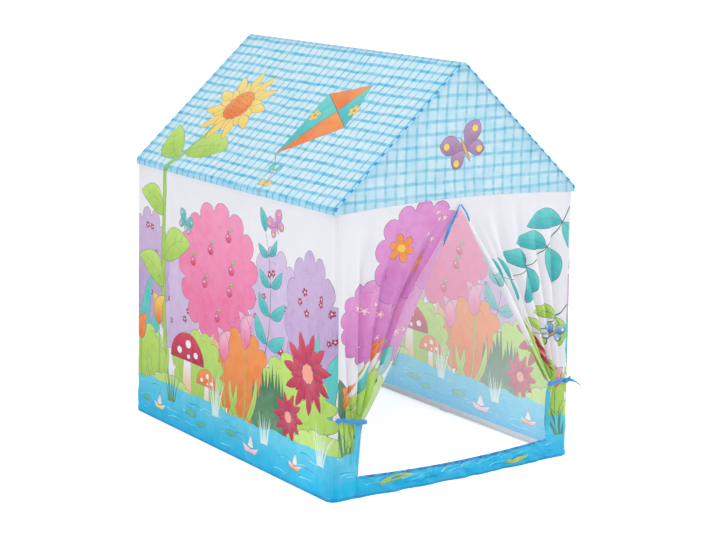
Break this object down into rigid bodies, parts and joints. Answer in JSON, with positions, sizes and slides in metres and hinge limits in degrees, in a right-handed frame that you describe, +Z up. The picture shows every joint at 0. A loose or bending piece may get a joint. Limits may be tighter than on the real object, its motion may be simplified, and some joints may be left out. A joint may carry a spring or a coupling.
{
  "type": "play tent",
  "caption": "House-shaped cloth play tent on a push-fit pole frame, with a slit doorway whose curtains are tied back by ribbons.",
  "frame": {"origin": "on the floor, under the middle of the ridge", "axes": "+Z up, +Y towards the back, +X to the right when facing the door from outside"},
  "size_m": [0.72, 0.95, 1.02],
  "materials": {
    "pole_plastic": "smooth extruded tube, slight sheen",
    "connector_plastic": "moulded, satin",
    "roof_cloth": "thin woven polyester, sky blue check on pale blue",
    "gable_cloth": "thin woven polyester, pale check",
    "wall_cloth": "thin white woven polyester with a bright garden print, blue at the foot",
    "curtain_cloth": "the same printed cloth, gathered",
    "curtain_edge_cloth": "the pale back of the printed cloth, with a blue bound edge",
    "sill_cloth": "the same cloth, water blue, bound along the top",
    "ribbon_satin": "blue satin ribbon"
  },
  "bodies": {
    "tent": {"base_connector_back_left": "connector_plastic", "base_connector_back_right": "connector_plastic", "base_connector_front_left": "connector_plastic", "base_connector_front_right": "connector_plastic", "base_cross_rail_back_left": "pole_plastic", "base_cross_rail_back_right": "pole_plastic", "base_cross_rail_front_left": "pole_plastic", "base_cross_rail_front_right": "pole_plastic", "base_rail_left_back": "pole_plastic", "base_rail_left_front": "pole_plastic", "base_rail_right_back": "pole_plastic", "base_rail_right_front": "pole_plastic", "curtain_left": "curtain_cloth", "curtain_right": "curtain_cloth", "door_sill": "sill_cloth", "eave_connector_back_left": "connector_plastic", "eave_connector_back_right": "connector_plastic", "eave_connector_front_left": "connector_plastic", "eave_connector_front_right": "connector_plastic", "eave_cross_rail_back_left": "pole_plastic", "eave_cross_rail_back_right": "pole_plastic", "eave_cross_rail_front_left": "pole_plastic", "eave_cross_rail_front_right": "pole_plastic", "eave_rail_left_back": "pole_plastic", "eave_rail_left_front": "pole_plastic", "eave_rail_right_back": "pole_plastic", "eave_rail_right_front": "pole_plastic", "front_corner_left": "wall_cloth", "front_corner_right": "wall_cloth", "gable_back": "gable_cloth", "gable_front": "gable_cloth", "post_back_left_lower": "pole_plastic", "post_back_left_upper": "pole_plastic", "post_back_right_lower": "pole_plastic", "post_back_right_upper": "pole_plastic", "post_front_left_lower": "pole_plastic", "post_front_left_upper": "pole_plastic", "post_front_right_lower": "pole_plastic", "post_front_right_upper": "pole_plastic", "rafter_back_left": "pole_plastic", "rafter_back_right": "pole_plastic", "rafter_front_left": "pole_plastic", "rafter_front_right": "pole_plastic", "ridge_connector_back": "connector_plastic", "ridge_connector_front": "connector_plastic", "ridge_pole_back": "pole_plastic", "ridge_pole_front": "pole_plastic", "roof_left": "roof_cloth", "roof_right": "roof_cloth", "wall_back": "wall_cloth", "wall_left": "wall_cloth", "wall_right": "wall_cloth"},
    "door_edge_left": {"curtain_edge_left": "curtain_edge_cloth"},
    "door_edge_right": {"curtain_edge_right": "curtain_edge_cloth"},
    "tie_left": {"ribbon_left": "ribbon_satin"},
    "tie_right": {"ribbon_right": "ribbon_satin"}
  },
  "joints": [
    {"name": "door_left_swing", "type": "hinge", "parent": "tent", "child": "door_edge_left", "pos_m": [0, -0.472, 0.682], "axis": [0, -1, 0], "range_deg": [0, 26]},
    {"name": "door_right_swing", "type": "hinge", "parent": "tent", "child": "door_edge_right", "pos_m": [0, -0.472, 0.682], "axis": [0, 1, 0], "range_deg": [0, 29.8]},
    {"name": "tie_left_drop", "type": "hinge", "parent": "tent", "child": "tie_left", "pos_m": [-0.352, -0.4723, 0.2], "axis": [0, 1, 0], "range_deg": [0, 68]},
    {"name": "tie_right_drop", "type": "hinge", "parent": "tent", "child": "tie_right", "pos_m": [0.352, -0.4723, 0.2], "axis": [0, -1, 0], "range_deg": [0, 88]}
  ],
  "couplings": [
    {"joint": "tie_left_drop", "follows": "door_left_swing", "ratio": 2.6},
    {"joint": "tie_right_drop", "follows": "door_right_swing", "ratio": 2.95}
  ]
}
